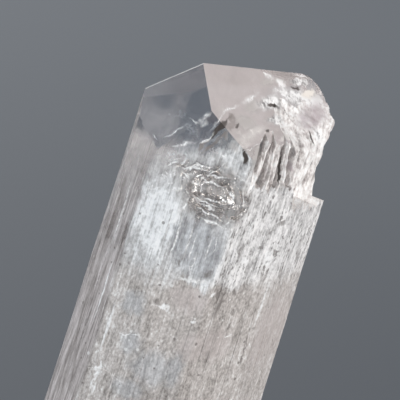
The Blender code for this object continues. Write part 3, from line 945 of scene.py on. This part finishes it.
# %% The left side, the specks and the marks
left_tone = ((fine_grain * 0.6 + mid_grain * 0.5 - 0.55) * 3.6 + 0.5).held()
left_colour = skin.mix(left_tone, (0.26, 0.23, 0.22, 1), (0.71, 0.65, 0.65, 1))
milk_colour = skin.mix(left_side * 0.75, milk_colour, left_colour)
milk_colour = skin.mix(dark_speck * 0.7, milk_colour, (0.17, 0.15, 0.14, 1))
milk_colour = skin.mix(bright_speck * 0.6, milk_colour, (0.97, 0.97, 0.96, 1))
dark_marks = dark_marks * (0.75 + etched.swing(3.0) + slivers.swing(2.0)).held()
milk_colour = skin.mix(dark_marks * 0.85, milk_colour, (0.18, 0.16, 0.15, 1))
# The bright spots turn white and milky: pale scars and painted glints.
scars_and_glints = scars_and_glints * (0.80 + etched.swing(2.2)).held()
milk_colour = skin.mix(scars_and_glints, milk_colour, WHITE)
share = share.most(scars_and_glints * 0.9)

# %% [markdown]
# # The tip and its broken corner
# The broken corner is frosted, and the gaps between its ribs are painted darker: painted shade in
# the crevices. The dome face beside it is a pink milky satin, partly a painted sheen, and the
# shoulder on the left is clear. Plain glass there would show the back faces bent, where the real
# one shows an even grey. So a thin grey film lies over the clear front, which makes it less clear
# than plain glass.

# %% The broken corner is frosted
frosted_front = 1 - skin.rise(azimuth, 112.0, 136.0)
# The crevices are painted darker and less frosted: painted shade between the ribs.
frost_tone = (0.72 + etched.swing(1.2) + flakes.swing(1.2) + clouds.swing(1.5)
              + slivers.swing(1.0) - crevice * 0.85)
frost = broken_here * frosted_front * (0.97 + flakes.swing(1.0) - crevice * 0.45)
frost_colour = skin.ramp(frost_tone.held(), [
    (0.0, (0.25, 0.22, 0.21, 1)), (0.3, (0.55, 0.50, 0.485, 1)), (0.6, (0.83, 0.79, 0.77, 1)),
    (0.85, (0.98, 0.965, 0.95, 1)), (1.0, WHITE)])
milk_colour = skin.mix(broken_here, milk_colour, frost_colour)
share = share * (1 - broken_here) + frost.held() * broken_here

# %% The faces of the tip
# The dome's pink milky satin is partly a painted sheen of the lamp above the tip.
satin_and_sheen = skin.rise(azimuth, -80.0, -60.0) * frosted_front
crackle = (skin.rise(azimuth + clouds.swing(90), 60.0, 90.0)
           * skin.rise(clouds + flakes.swing(0.7), 0.36, 0.62)) * frosted_front
satin_and_sheen = satin_and_sheen * (0.35 + 0.65 * skin.rise(z, 40.9, 41.7))
back_dome = (1 - skin.rise(azimuth, -80.0, -60.0)) * 0.35
tip_share = (satin_and_sheen * (0.66 + clouds.swing(0.4))).held().most(crackle).most(back_dome)
share = share * (1 - tip_here) + tip_share * tip_here
tip_colour = skin.mix(crackle, (0.56, 0.505, 0.497, 1), (0.98, 0.97, 0.96, 1))
milk_colour = skin.mix(tip_here, milk_colour, tip_colour)

# %% The film over the clear front
PANE_FILM = 0.6

clear_front = skin.rise(z, 38.6, 40.4) * (1 - skin.rise(azimuth, -20.0, -8.0)) * (1 - tip_here)
film = pane_here.most(clear_front * skin.rise(azimuth, -72.0, -60.0)) * PANE_FILM * (1 - share)
milk_colour = skin.mix(film / (share + film + 0.001), milk_colour, (0.112, 0.127, 0.158, 1))
share = share + film

# %% [markdown]
# # Small marks of the tip
# Under the tip's faces lie small brown cracks, a dark spike, white arcs and grey lenses. The white
# arcs and sparks are painted glints, light mirrored by the cracks, beside white veils. Each could
# be a sheet of its own, as the large cracks are, but dozens of sheets would be slow, and their
# edges would show from behind. So the small ones are laid on the front of the skin, by their place
# across and up in the crystal's own coordinates. They stay where they are when the crystal is
# seen from elsewhere.

# %% Places as seen from the front
# FRONT_SCALE is how many pixels of the photo one millimetre of the crystal's front takes up.
FRONT_SCALE = 13.12
MIDDLE_HEIGHT = 32

leaned = ((z - MIDDLE_HEIGHT) * math.cos(CAMERA_ELEVATION) + y * math.sin(CAMERA_ELEVATION)
          + MIDDLE_HEIGHT)
from_front = skin.vector("ADD", skin.node("ShaderNodeCombineXYZ", {}, x, leaned),
                         skin.vector("MULTIPLY", jitter, (0.6, 0.6, 0.0)))
ahead = skin.rise(x * math.sin(math.radians(A_AXIS)) - y * math.cos(math.radians(A_AXIS)), -0.3, -0.1)
on_tip = tip_here.most(broken_here)
seen_side = ahead * on_tip + skin.rise(0 - y, 0.5, 1.5) * (1 - on_tip)


def front_place(column, row):
    """Millimetres across and up, for a place in the photo."""
    from_target = Vector((column - TARGET_PIXEL[0], TARGET_PIXEL[1] - row)) / FRONT_SCALE
    return Matrix.Rotation(CAMERA_ROLL, 2) @ from_target + Vector((0, MIDDLE_HEIGHT))


def read_in(window, marks):
    """Ovals of marks that were read in one window of the photo."""
    left, top, scale = window
    for strength, *ends, half_width in marks:
        one, two = (front_place(left + column / scale, top + row / scale)
                    for column, row in (ends[:2], ends[2:]))
        half = (two - one) / 2
        lean = math.degrees(math.atan2(half.y, half.x))
        yield reach(from_front, (one + two) / 2, max(half.length, half_width), half_width, lean, strength)


def laid_on(full, *windows):
    """1 inside any mark of these windows, on the side that faces the front."""
    ovals = [oval for window, marks in windows for oval in read_in(window, marks)]
    return seen_side * union(ovals, full)


print("middle of the photo in mm", [round(value, 2) for value in front_place(200, 200)])

# %% Marks that are laid on
# They were read in enlarged windows of the photo. A window is its left edge, top edge and
# scale. A mark is its strength, its two ends in the window and half its width in millimetres.
TIP_WINDOW = (185, 55, 6)
LEFT_WINDOW = (110, 50, 4.33)
SHELL_WINDOW = (125, 140, 6)
SPIKE_WINDOW = (190, 95, 13)
# How deep inside an oval a mark is full: a smaller number gives a harder rim.
SHARP, BOLD, SOFT, FAINT, FAINTEST = 0.4, 0.5, 0.62, 0.9, 1.0

grey_lens = laid_on(SOFT, (TIP_WINDOW, [
    (0.8, 290, 380, 430, 440, 0.55), (0.6, 350, 300, 460, 330, 0.6), (0.8, 450, 530, 400, 690, 0.32),
    (0.5, 440, 170, 560, 150, 0.35)]))
mauve = laid_on(SOFT, (TIP_WINDOW, [
    (1.0, 698, 417, 842, 307, 0.85), (0.6, 540, 500, 640, 520, 0.25), (0.5, 610, 630, 650, 720, 0.25)]))
warm = laid_on(SOFT, (TIP_WINDOW, [
    (0.7, 700, 230, 800, 220, 0.35)]))
shattered = laid_on(SOFT, (TIP_WINDOW, [
    (1.0, 440, 300, 580, 270, 0.5), (1.0, 600, 270, 700, 230, 0.6), (0.7, 620, 160, 760, 150, 0.3),
    (0.6, 480, 400, 600, 380, 0.4), (0.8, 790, 440, 850, 560, 0.3)]))
stone = laid_on(FAINT, (SPIKE_WINDOW, [
    (0.85, 560, 620, 880, 560, 0.5), (0.8, 470, 640, 640, 720, 0.4), (0.85, 340, 180, 480, 270, 0.42),
    (0.7, 570, 460, 700, 560, 0.35)]))
tea = laid_on(FAINT, (SHELL_WINDOW, [
    (0.9, 430, 262, 620, 335, 0.42), (0.7, 560, 200, 680, 240, 0.3)]))
smoke = laid_on(FAINT, (SHELL_WINDOW, [
    (0.8, 655, 240, 690, 430, 0.3), (0.8, 585, 430, 690, 450, 0.4), (0.6, 330, 210, 450, 220, 0.25)]))
brown = laid_on(BOLD, (SPIKE_WINDOW, [
    (0.9, 515, 250, 590, 420, 0.17), (0.9, 480, 400, 565, 460, 0.28), (0.85, 560, 430, 180, 750, 0.15),
    (0.7, 455, 470, 480, 600, 0.2), (0.6, 250, 560, 100, 740, 0.14)]))
spike = laid_on(SHARP, (SPIKE_WINDOW, [
    (0.95, 490, 330, 250, 575, 0.14), (0.95, 465, 370, 330, 480, 0.2), (0.8, 622, 385, 600, 445, 0.07)]),
    (TIP_WINDOW, [
    (0.85, 356, 572, 366, 666, 0.17), (0.8, 577, 600, 560, 780, 0.09), (0.6, 480, 445, 495, 465, 0.12),
    (0.75, 505, 290, 555, 312, 0.12), (0.6, 590, 320, 612, 362, 0.04), (0.6, 640, 180, 690, 200, 0.08),
    (0.6, 740, 440, 780, 540, 0.07)]))
pale = laid_on(SOFT, (TIP_WINDOW, [
    (0.9, 300, 530, 480, 430, 0.3), (0.5, 560, 520, 640, 480, 0.3)]))
# White veils, and painted glints: the bright arcs and sparks of light mirrored by the cracks.
veils_and_arc_glints = laid_on(FAINTEST, (TIP_WINDOW, [
    (0.8, 200, 370, 330, 300, 0.12), (0.75, 330, 300, 450, 225, 0.22), (0.9, 85, 550, 175, 470, 0.07),
    (0.75, 110, 750, 300, 620, 0.05), (0.75, 300, 620, 500, 500, 0.05), (0.9, 180, 590, 345, 640, 0.09),
    (0.8, 20, 640, 150, 690, 0.1), (0.75, 270, 690, 400, 790, 0.08), (0.9, 640, 100, 770, 130, 0.14)]),
    (LEFT_WINDOW, [
    (0.8, 235, 385, 330, 335, 0.09), (0.6, 180, 370, 207, 395, 0.07), (0.75, 385, 325, 445, 270, 0.2),
    (0.5, 340, 300, 395, 330, 0.1), (0.6, 170, 610, 330, 550, 0.1), (0.85, 300, 515, 400, 500, 0.08),
    (0.8, 300, 515, 350, 575, 0.06), (0.6, 240, 425, 390, 400, 0.14), (0.5, 230, 480, 330, 470, 0.1)]),
    (SHELL_WINDOW, [
    (0.9, 530, 90, 650, 120, 0.21), (0.8, 400, 160, 500, 170, 0.14), (0.75, 330, 190, 400, 240, 0.08),
    (0.9, 455, 250, 560, 265, 0.13), (0.9, 660, 210, 745, 270, 0.18), (0.7, 130, 365, 230, 312, 0.16),
    (0.8, 230, 312, 370, 278, 0.18), (0.6, 170, 270, 320, 185, 0.16), (0.55, 220, 165, 360, 112, 0.16),
    (0.75, 440, 340, 610, 385, 0.1), (0.8, 420, 370, 560, 430, 0.16), (0.8, 430, 455, 560, 510, 0.13),
    (0.8, 560, 512, 700, 482, 0.13), (0.7, 712, 280, 715, 430, 0.08), (0.9, 636, 330, 655, 352, 0.19),
    (0.7, 310, 470, 395, 325, 0.19)]),
    (SPIKE_WINDOW, [
    (0.95, 140, 655, 228, 592, 0.11), (0.8, 130, 425, 240, 350, 0.22), (0.7, 240, 500, 500, 185, 0.1)]))
skin.tell("places of the small marks")

# %% Colours of the small marks
splinter_tone = (etched.swing(1.6) + slivers.swing(1.8) + flakes.swing(3.4) + 0.70).held()
splinters = skin.mix(splinter_tone, (0.22, 0.21, 0.21, 1), (1.0, 0.99, 0.98, 1))
dusty = (0.75 + flakes.swing(1.6)).held()
thready = (0.80 + etched.swing(2.4) + flakes.swing(1.8)).held()
for mark, colour in [(stone * dusty, (0.60, 0.565, 0.545, 1)), (tea * dusty * 0.7, (0.38, 0.33, 0.30, 1)),
                     (smoke * dusty * 0.85, (0.22, 0.215, 0.21, 1)),
                     (grey_lens * 0.85, (0.50, 0.475, 0.455, 1)), (shattered, splinters),
                     (mauve * dusty, (0.45, 0.38, 0.395, 1)), (warm, (0.92, 0.86, 0.79, 1)),
                     (brown * dusty, (0.23, 0.20, 0.185, 1)), (spike, (0.07, 0.058, 0.052, 1)),
                     (pale * dusty, (0.78, 0.75, 0.72, 1)), (veils_and_arc_glints * thready, WHITE)]:
    milk_colour = skin.mix(mark, milk_colour, colour)
    share = share.most(mark)
# The worn edge faces are painted pale grey and milky: a worn facet with a painted highlight along the
# edge.
milk_colour = skin.mix(worn_edge_highlight, milk_colour, (0.86, 0.86, 0.86, 1))
share = share.most(worn_edge_highlight * 0.55)
skin.tell("small marks")

# %% [markdown]
# # Clear stone and milky stone
# Clear danburite is plain transmission with an IOR of 1.633 and a faint pinkish absorption. The
# milky skin is softly glossy, with the fine relief of its grain. The lamps' shadow rays pass
# through the clear stone, so that the milk inside is lit without slow caustics.

# %% Two shaders and their mix
relief = fine_grain * 0.6 + etched * 0.5 + dark_speck * -0.8
bump = skin.node("ShaderNodeBump", {}, Strength=0.5, Distance=0.05 * MM, Height=relief)
milky = skin.node("ShaderNodeBsdfPrincipled", {}, Base_Color=milk_colour, Roughness=0.33,
                  IOR=1.55, Normal=bump)
soft_bump = skin.node("ShaderNodeBump", {}, Strength=0.12, Distance=0.05 * MM, Height=fine_grain)
clear = skin.node("ShaderNodeBsdfPrincipled", {}, Base_Color=(1, 1, 1, 1), Roughness=0.03,
                  IOR=1.633, Transmission_Weight=1.0, Normal=soft_bump)
lamp_ray = skin.node("ShaderNodeLightPath", {}).out("Is Shadow Ray")
open_to_light = skin.node("ShaderNodeBsdfTransparent", {}, (0.9, 0.9, 0.9, 1))
clear = skin.shader_mix(lamp_ray, clear, open_to_light)
tint = skin.node("ShaderNodeVolumeAbsorption", {}, Color=(0.95, 0.86, 0.84, 1), Density=12.0)
crystal.data.materials.append(skin.close(skin.shader_mix(share, clear, milky), tint))

# %% [markdown]
# # The end
